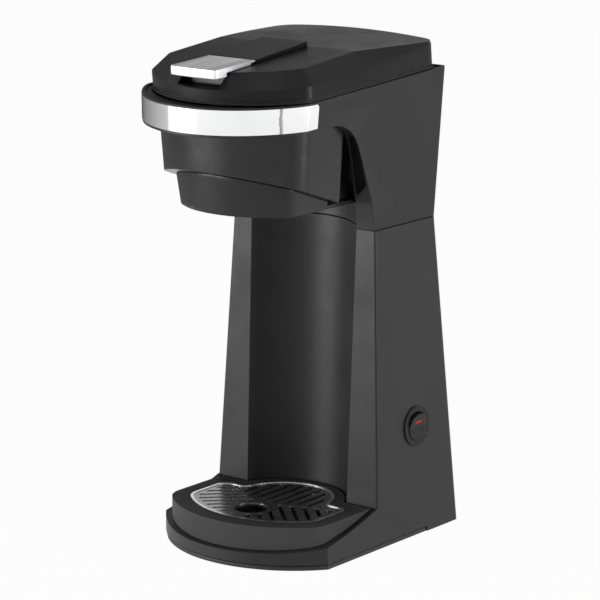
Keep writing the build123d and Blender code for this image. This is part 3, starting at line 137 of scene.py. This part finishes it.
@dataclass
class NodeBench:
    """A material's node tree with short calls for the nodes that the finishes share."""

    NOISE_RANGE: ClassVar[tuple[float, float]] = (0.3, 0.7)
    RAMP_STOPS: ClassVar[tuple[float, float]] = (0.32, 0.68)
    WEAR_RANGE: ClassVar[tuple[float, float]] = (0.53, 0.64)
    EDGE_SAMPLES: ClassVar[int] = 4

    name: str
    tree: bpy.types.NodeTree = field(init=False)
    surface: bpy.types.Node = field(init=False)
    made: bpy.types.Material = field(init=False)

    def __post_init__(self) -> None:
        """Start the tree with one Principled surface."""
        self.made = bpy.data.materials.new(self.name)
        self.made.use_nodes = True
        self.tree = self.made.node_tree
        self.surface = self.tree.nodes["Principled BSDF"]

    def node(self, kind: str, **values: object) -> bpy.types.Node:
        """Add a node.

        Args:
            kind: the node's type name.
            values: properties, or input sockets where the node has no such property.

        Returns:
            The new node.
        """
        made = self.tree.nodes.new(kind)
        for key, value in values.items():
            if hasattr(made, key):
                setattr(made, key, value)
            else:
                made.inputs[key.replace("_", " ")].default_value = value
        return made

    def join(self, out: bpy.types.NodeSocket, into: bpy.types.NodeSocket) -> None:
        """Link two sockets."""
        self.tree.links.new(out, into)

    def place(self, stretch: Triple) -> bpy.types.NodeSocket:
        """Object coordinates, stretched along the axes.

        Args:
            stretch: factor along each axis.

        Returns:
            The vector socket.
        """
        coords = self.node("ShaderNodeTexCoord")
        mapping = self.node("ShaderNodeMapping", Scale=stretch)
        self.join(coords.outputs["Object"], mapping.inputs["Vector"])
        return mapping.outputs["Vector"]

    def noise(self, scale: float, detail: float = 2.0, stretch: Triple = EVEN) -> bpy.types.NodeSocket:
        """Noise over the object.

        Args:
            scale: noise cells per metre.
            detail: octaves.
            stretch: factor along each axis.

        Returns:
            The noise value socket.
        """
        made = self.node("ShaderNodeTexNoise", Scale=scale, Detail=detail)
        self.join(self.place(stretch), made.inputs["Vector"])
        return made.outputs["Fac"]

    def spread(self, value: bpy.types.NodeSocket, low: float, high: float) -> bpy.types.NodeSocket:
        """Map a noise value to a range.

        Args:
            value: the noise.
            low: result at the low end.
            high: result at the high end.

        Returns:
            The mapped socket.
        """
        start, stop = self.NOISE_RANGE
        made = self.node("ShaderNodeMapRange", From_Min=start, From_Max=stop, To_Min=low, To_Max=high)
        self.join(value, made.inputs["Value"])
        return made.outputs["Result"]

    def tint(self, value: bpy.types.NodeSocket, low: Colour, high: Colour) -> bpy.types.NodeSocket:
        """Blend two colours by a noise value.

        Args:
            value: the noise.
            low: colour at the low end.
            high: colour at the high end.

        Returns:
            The colour socket.
        """
        ramp = self.node("ShaderNodeValToRGB")
        for stop, place, colour in zip(ramp.color_ramp.elements, self.RAMP_STOPS, (low, high)):
            stop.position = place
            stop.color = (*colour, 1.0)
        self.join(value, ramp.inputs["Fac"])
        return ramp.outputs["Color"]

    def relief(self, height: bpy.types.NodeSocket, strength: float, depth: float, edge: float) -> None:
        """Bump on the surface, over softened edges.

        Args:
            height: the height noise.
            strength: how much of the bump shows.
            depth: height of the bump in metres.
            edge: radius that edges appear rounded to, in metres.
        """
        bump = self.node("ShaderNodeBump", Strength=strength, Distance=depth)
        self.join(height, bump.inputs["Height"])
        if edge > 0:
            rounded = self.node("ShaderNodeBevel", samples=self.EDGE_SAMPLES, Radius=edge)
            self.join(rounded.outputs["Normal"], bump.inputs["Normal"])
        self.join(bump.outputs["Normal"], self.surface.inputs["Normal"])

    def edge_wear(self, worn: Colour, base: bpy.types.NodeSocket, amount: float) -> bpy.types.NodeSocket:
        """Lighten the colour along convex edges.

        Args:
            worn: colour of a rubbed edge.
            base: the plain colour.
            amount: share of the worn colour at its strongest.

        Returns:
            The colour socket.
        """
        geometry = self.node("ShaderNodeNewGeometry")
        start, stop = self.WEAR_RANGE
        pick = self.node("ShaderNodeMapRange", From_Min=start, From_Max=stop, To_Max=amount)
        self.join(geometry.outputs["Pointiness"], pick.inputs["Value"])
        blend = self.node("ShaderNodeMix", data_type="RGBA")
        self.join(pick.outputs["Result"], blend.inputs["Factor"])
        self.join(base, blend.inputs["A"])
        blend.inputs["B"].default_value = (*worn, 1.0)
        return blend.outputs["Result"]


class StoredFinish:
    """A finish that makes its material once and hands the same one out again."""

    name: str

    def material(self) -> bpy.types.Material:
        """Make the material, or return it if it exists."""
        return bpy.data.materials.get(self.name) or self.make()

    def make(self) -> bpy.types.Material:
        """Make the material."""
        raise NotImplementedError


@dataclass(frozen=True)
class MouldedPlastic(StoredFinish):
    """Black or grey moulded plastic with a tool grain."""

    GRAINS: ClassVar[dict[Coat, Grain]] = {
        Coat.SPARK: Grain(2600.0, 0.22, 0.00009),
        Coat.SATIN: Grain(1900.0, 0.10, 0.00006),
        Coat.GLOSS: Grain(420.0, 0.04, 0.00005),
    }

    name: str
    colour: Colour
    roughness: float = 0.42
    coat: Coat = Coat.SPARK
    edge: float = 0.0007
    shine: float = 0.4
    tones: tuple[float, float] = (0.86, 1.16)
    tone_scale: float = 26.0
    worn_factor: float = 1.9
    worn_lift: float = 0.01
    worn_share: float = 0.6
    haze: float = 0.045
    haze_scale: float = 55.0

    def make(self) -> bpy.types.Material:
        """Make the material.

        Returns:
            The new material.
        """
        bench = NodeBench(self.name)
        cloud = bench.noise(self.tone_scale, detail=3.0)
        plain = bench.tint(cloud, *(toned(self.colour, tone) for tone in self.tones))
        worn = toned(self.colour, self.worn_factor, self.worn_lift)
        bench.join(bench.edge_wear(worn, plain, self.worn_share), bench.surface.inputs["Base Color"])
        blotch = bench.noise(self.haze_scale, detail=4.0)
        rough = bench.spread(blotch, self.roughness - self.haze, self.roughness + self.haze)
        bench.join(rough, bench.surface.inputs["Roughness"])
        grain = self.GRAINS[self.coat]
        bench.relief(bench.noise(grain.scale), grain.strength, grain.depth, self.edge)
        bench.surface.inputs["Specular IOR Level"].default_value = self.shine
        return bench.made


@dataclass(frozen=True)
class PlatedMetal(StoredFinish):
    """Metal or metal plating, with a fine draw or brush along one axis."""

    name: str
    colour: Colour
    roughness: float
    metallic: float = 1.0
    brush: Triple = (1.0, 1.0, 14.0)
    brush_scale: float = 160.0
    edge: float = 0.0005
    draw: float = 0.03
    draw_scale: float = 900.0
    draw_depth: float = 0.00003
    tones: tuple[float, float] = (0.94, 1.04)
    haze: tuple[float, float] = (0.8, 1.25)

    def make(self) -> bpy.types.Material:
        """Make the material.

        Returns:
            The new material.
        """
        bench = NodeBench(self.name)
        streak = bench.noise(self.brush_scale, detail=3.0, stretch=self.brush)
        tinted = bench.tint(streak, *(toned(self.colour, tone) for tone in self.tones))
        bench.join(tinted, bench.surface.inputs["Base Color"])
        rough = bench.spread(streak, *(share * self.roughness for share in self.haze))
        bench.join(rough, bench.surface.inputs["Roughness"])
        bench.surface.inputs["Metallic"].default_value = self.metallic
        drawn = bench.noise(self.draw_scale, stretch=self.brush)
        bench.relief(drawn, self.draw, self.draw_depth, self.edge)
        return bench.made


@dataclass(frozen=True)
class SoftRubber(StoredFinish):
    """Rubber or silicone with a dusty bloom."""

    name: str
    colour: Colour
    roughness: float = 0.7
    tones: tuple[float, float] = (0.8, 1.2)
    bloom_scale: float = 90.0
    haze: float = 0.06
    haze_scale: float = 200.0
    grain: Grain = Grain(1400.0, 0.12, 0.00008)

    def make(self) -> bpy.types.Material:
        """Make the material.

        Returns:
            The new material.
        """
        bench = NodeBench(self.name)
        cloud = bench.noise(self.bloom_scale, detail=4.0)
        tinted = bench.tint(cloud, *(toned(self.colour, tone) for tone in self.tones))
        bench.join(tinted, bench.surface.inputs["Base Color"])
        blotch = bench.noise(self.haze_scale)
        rough = bench.spread(blotch, self.roughness - self.haze, self.roughness + self.haze)
        bench.join(rough, bench.surface.inputs["Roughness"])
        bench.relief(bench.noise(self.grain.scale), self.grain.strength, self.grain.depth, edge=0.0)
        return bench.made


@dataclass(frozen=True)
class Palette:
    """Every finish of the machine."""

    case: Finish = MouldedPlastic("case_black", (0.0195, 0.0195, 0.0205), 0.44, shine=0.22)
    head: Finish = MouldedPlastic("head_black", (0.0145, 0.0145, 0.0155), 0.26, Coat.SATIN, shine=0.34)
    lid: Finish = MouldedPlastic("lid_black", (0.0150, 0.0150, 0.0157), 0.30, shine=0.11)
    tray: Finish = MouldedPlastic(
        "tray_black", (0.060, 0.060, 0.061), 0.48, Coat.SATIN, edge=0.0010, shine=0.01
    )
    inner: Finish = MouldedPlastic("inner_black", (0.012, 0.012, 0.013), 0.55)
    switch: Finish = MouldedPlastic(
        "switch_black", (0.009, 0.009, 0.010), 0.30, Coat.GLOSS, edge=0.0004, shine=0.2
    )
    marker: Finish = MouldedPlastic(
        "marker_red", (0.62, 0.035, 0.012), 0.5, Coat.GLOSS, edge=0.0, shine=0.03
    )
    tank: Finish = MouldedPlastic("tank_smoke", (0.11, 0.115, 0.12), 0.22, Coat.GLOSS)
    chrome: Finish = PlatedMetal(
        "band_chrome", (0.93, 0.93, 0.94), 0.06, brush=EVEN, brush_scale=30.0, edge=0.0, draw=0.0
    )
    silver: Finish = PlatedMetal(
        "latch_silver", (0.94, 0.94, 0.95), 0.38, metallic=0.5, brush=(1.0, 0.1, 1.0), draw=0.0
    )
    ring: Finish = PlatedMetal("ring_silver", (0.72, 0.72, 0.73), 0.30, edge=0.0, draw=0.0)
    grate: Finish = PlatedMetal(
        "grate_dark", (0.24, 0.24, 0.245), 0.24, metallic=0.85, brush=(1.0, 6.0, 1.0)
    )
    steel: Finish = PlatedMetal("zinc_steel", (0.55, 0.55, 0.56), 0.32)
    aluminium: Finish = PlatedMetal("cast_aluminium", (0.62, 0.62, 0.63), 0.45, brush=EVEN)
    rubber: Finish = SoftRubber("foot_rubber", (0.006, 0.006, 0.006))
    silicone: Finish = SoftRubber("hose_silicone", (0.5, 0.49, 0.47), 0.5)


@dataclass
class Assembly:
    """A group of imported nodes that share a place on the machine."""

    WELD_REACH: ClassVar[float] = 0.00001
    ROUND_SEGMENTS: ClassVar[int] = 3
    ROUND_ANGLE: ClassVar[float] = 0.45

    palette: Palette
    finishes: dict[str, Finish] = field(default_factory=dict)
    edges: dict[str, float] = field(default_factory=dict)

    def soften(self) -> None:
        """Round the sharp edges of the nodes that have an edge radius."""
        for name, radius in self.edges.items():
            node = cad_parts[name]
            weld = node.modifiers.new("weld", "WELD")
            weld.merge_threshold = self.WELD_REACH
            round_over = node.modifiers.new("round_over", "BEVEL")
            round_over.width = radius
            round_over.segments = self.ROUND_SEGMENTS
            round_over.limit_method = "ANGLE"
            round_over.angle_limit = self.ROUND_ANGLE
            round_over.harden_normals = True
            LOG.info("%s edges rounded to %.1f mm", name, MM_PER_M * radius)

    def dress(self) -> None:
        """Give every node of the group its material."""
        for name, finish in self.finishes.items():
            made = finish.material()
            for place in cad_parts[name].material_slots:
                place.material = made
            LOG.info("%s dressed with %s", name, made.name)


@dataclass
class Housing(Assembly):
    """Column, upper case and everything fixed under them."""

    spout_edge: float = 0.0006
    base_edge: float = 0.0004

    def __post_init__(self) -> None:
        """Choose the finishes and the rounded edges."""
        self.finishes = {
            "lower_housing": self.palette.case,
            "upper_housing": self.palette.case,
            "chrome_band": self.palette.chrome,
            "head_shroud": self.palette.head,
            "spout_shroud": self.palette.head,
            "base_plate": self.palette.inner,
            "rubber_feet": self.palette.rubber,
            "base_screws": self.palette.steel,
            "housing_screws": self.palette.steel,
            "top_deck": self.palette.inner,
            "cord_gland": self.palette.rubber,
        }
        self.edges = {"spout_shroud": self.spout_edge, "base_plate": self.base_edge}


@dataclass
class WaterPath(Assembly):
    """Tank, heater, hoses and brew chamber."""

    def __post_init__(self) -> None:
        """Choose the finishes."""
        self.finishes = {
            "water_tank": self.palette.tank,
            "tank_strainer": self.palette.inner,
            "heater_body": self.palette.aluminium,
            "heater_tube": self.palette.aluminium,
            "heater_bracket": self.palette.steel,
            "thermostat": self.palette.inner,
            "thermal_fuse": self.palette.inner,
            "check_valve": self.palette.inner,
            "cold_hose": self.palette.silicone,
            "hot_riser": self.palette.silicone,
            "pod_holder": self.palette.inner,
            "lower_needle": self.palette.steel,
        }


@dataclass
class Lid(Assembly):
    """Hinged lid with its latch and piercing head."""

    pad_edge: float = 0.0004
    latch_edge: float = 0.0005

    def __post_init__(self) -> None:
        """Choose the finishes and the rounded edges."""
        self.finishes = {
            "lid_shell": self.palette.lid,
            "lid_pad": self.palette.lid,
            "lid_liner": self.palette.inner,
            "lid_gasket": self.palette.rubber,
            "latch_plate": self.palette.silver,
            "latch_pin": self.palette.steel,
            "latch_spring": self.palette.steel,
            "hinge_pins": self.palette.steel,
            "needle_block": self.palette.inner,
            "pod_gasket": self.palette.silicone,
            "top_needle": self.palette.steel,
            "lid_hose": self.palette.silicone,
        }
        self.edges = {"lid_pad": self.pad_edge, "latch_plate": self.latch_edge}


@dataclass
class DripTray(Assembly):
    """Tray with its grate."""

    def __post_init__(self) -> None:
        """Choose the finishes."""
        self.finishes = {
            "drip_tray": self.palette.tray,
            "drip_grate": self.palette.grate,
            "grate_ring": self.palette.ring,
        }


@dataclass
class PowerSwitch(Assembly):
    """Round rocker switch."""

    switch_edge: float = 0.0004

    def __post_init__(self) -> None:
        """Choose the finishes and the rounded edges."""
        self.finishes = {
            "switch_bezel": self.palette.switch,
            "switch_rocker": self.palette.switch,
            "rocker_marker": self.palette.marker,
            "switch_terminals": self.palette.steel,
        }
        self.edges = {"switch_bezel": self.switch_edge, "switch_rocker": self.switch_edge}


@dataclass
class SoftBox:
    """One rectangular studio lamp."""

    name: str
    place: Triple
    target: Triple
    size: tuple[float, float]
    power: float
    only_shine: bool = False

    def build(self) -> None:
        """Make the lamp."""
        data = bpy.data.lights.new(self.name, "AREA")
        data.shape = "RECTANGLE"
        data.size, data.size_y = self.size
        data.energy = self.power
        lamp = add_to_scene(self.name, data)
        aim(lamp, self.place, self.target)
        lamp.visible_diffuse = not self.only_shine


@dataclass
class DarkCard:
    """One upright dark card that only reflections show, shaded across its width."""

    name: str
    place: Triple
    target: Triple
    size: tuple[float, float]
    shade: float
    far_shade: float

    def build(self) -> None:
        """Make the card."""
        wide, tall = (0.5 * side for side in self.size)
        card = panel(self.name, wide, tall)
        aim(card, self.place, self.target)
        bench = NodeBench(self.name)
        coords = bench.node("ShaderNodeTexCoord")
        split = bench.node("ShaderNodeSeparateXYZ")
        fade = bench.node(
            "ShaderNodeMapRange", From_Min=-wide, From_Max=wide, To_Min=self.shade, To_Max=self.far_shade
        )
        glow = bench.node("ShaderNodeEmission")
        bench.join(coords.outputs["Object"], split.inputs["Vector"])
        bench.join(split.outputs["X"], fade.inputs["Value"])
        bench.join(fade.outputs["Result"], glow.inputs["Strength"])
        bench.join(glow.outputs["Emission"], bench.tree.nodes["Material Output"].inputs["Surface"])
        card.data.materials.append(bench.made)
        card.visible_camera = False
        card.visible_diffuse = False
        card.visible_transmission = False
        card.visible_shadow = False


@dataclass
class Studio:
    """White sweep, lamps, cards and camera."""

    camera_place: Triple = (1.0652, -1.3379, 0.5360)
    camera_aim: Triple = (-0.00854, 0.0247, 0.1415)
    lens: float = 177.17
    sensor_width: float = 36.0
    clip: tuple[float, float] = (0.01, 50.0)
    middle: Triple = (0.0, 0.0, 0.16)
    ambient: float = 0.07
    floor_half: float = 6.0
    floor_glow: float = 0.97
    floor_colour: Colour = (0.9, 0.9, 0.9)
    floor_roughness: float = 0.9

    def lamps(self) -> list[SoftBox]:
        """Set out the lamps that light the machine.

        Returns:
            The lamps, not yet built.
        """
        return [
            SoftBox("front", (-1.25, -1.5, 0.13), self.middle, (1.1, 0.24), 26.5),
            SoftBox("side", (1.75, 0.25, 0.22), self.middle, (0.8, 0.4), 12.3),
            SoftBox("top", (0.3, -0.6, 1.7), self.middle, (0.9, 0.9), 4.2),
            SoftBox("strip", (1.15, 0.35, 0.25), self.middle, (0.14, 0.8), 7.0, only_shine=True),
        ]

    def cards(self) -> list[DarkCard]:
        """Set out the cards that the chrome, the lid and the rear edge reflect.

        Returns:
            The cards, not yet built.
        """
        return [
            DarkCard("back_card", (-0.40, 0.50, 0.62), (0.0, 0.0, 0.62), (0.5, 0.6), 0.62, 0.0),
            DarkCard("rear_card", (-0.08, 0.33, 0.15), (0.05, 0.06, 0.15), (0.3, 0.3), 0.02, 0.02),
            DarkCard("left_card", (-0.60, 0.02, 0.30), (0.0, 0.02, 0.30), (0.9, 0.6), 0.02, 0.62),
            DarkCard("front_card", (0.735, -0.425, 0.25), (0.0, 0.0, 0.25), (0.05, 0.6), 0.20, 0.60),
        ]

    def sky(self) -> None:
        """White surround for what the camera and reflections see, with a softer ambient light."""
        world = bpy.data.worlds.new("white_sweep")
        bpy.context.scene.world = world
        world.use_nodes = True
        tree = world.node_tree
        tree.nodes.clear()
        out = tree.nodes.new("ShaderNodeOutputWorld")
        blend = tree.nodes.new("ShaderNodeMixShader")
        seen = any_ray(tree, ("Is Camera Ray", "Is Glossy Ray", "Is Transmission Ray"))
        tree.links.new(seen, blend.inputs["Fac"])
        for place, strength in ((1, self.ambient), (2, 1.0)):
            light = tree.nodes.new("ShaderNodeBackground")
            light.inputs["Color"].default_value = WHITE
            light.inputs["Strength"].default_value = strength
            tree.links.new(light.outputs["Background"], blend.inputs[place])
        tree.links.new(blend.outputs["Shader"], out.inputs["Surface"])

    def floor(self) -> None:
        """Pale floor that keeps a soft shadow."""
        plane = panel("floor", self.floor_half, self.floor_half)
        bench = NodeBench("floor_white")
        bench.surface.inputs["Base Color"].default_value = (*self.floor_colour, 1.0)
        bench.surface.inputs["Roughness"].default_value = self.floor_roughness
        glow = bench.node("ShaderNodeEmission")
        share = bench.node("ShaderNodeMath", operation="MULTIPLY")
        share.inputs[1].default_value = self.floor_glow
        blend = bench.node("ShaderNodeMixShader")
        bench.join(any_ray(bench.tree, ("Is Camera Ray", "Is Glossy Ray")), share.inputs[0])
        bench.join(share.outputs["Value"], blend.inputs["Fac"])
        bench.join(bench.surface.outputs["BSDF"], blend.inputs[1])
        bench.join(glow.outputs["Emission"], blend.inputs[2])
        bench.join(blend.outputs["Shader"], bench.tree.nodes["Material Output"].inputs["Surface"])
        plane.data.materials.append(bench.made)

    def camera(self) -> None:
        """Camera at the photograph's place."""
        data = bpy.data.cameras.new("view")
        data.sensor_width = self.sensor_width
        data.sensor_fit = "HORIZONTAL"
        data.lens = self.lens
        data.clip_start, data.clip_end = self.clip
        eye = add_to_scene("view", data)
        aim(eye, self.camera_place, self.camera_aim)
        bpy.context.scene.camera = eye

    def build(self) -> None:
        """Make the studio."""
        self.sky()
        self.floor()
        self.camera()
        for thing in (*self.lamps(), *self.cards()):
            thing.build()
        bpy.context.scene.view_settings.view_transform = "Standard"


def main() -> None:
    """Build the machine's sub-assemblies and the studio round them."""
    logging.basicConfig(level=logging.INFO, format="%(name)s: %(message)s")
    palette = Palette()
    for group in (Housing, WaterPath, Lid, DripTray, PowerSwitch):
        assembly = group(palette)
        assembly.soften()
        assembly.dress()
    Studio().build()


if __name__ == "__main__":
    main()
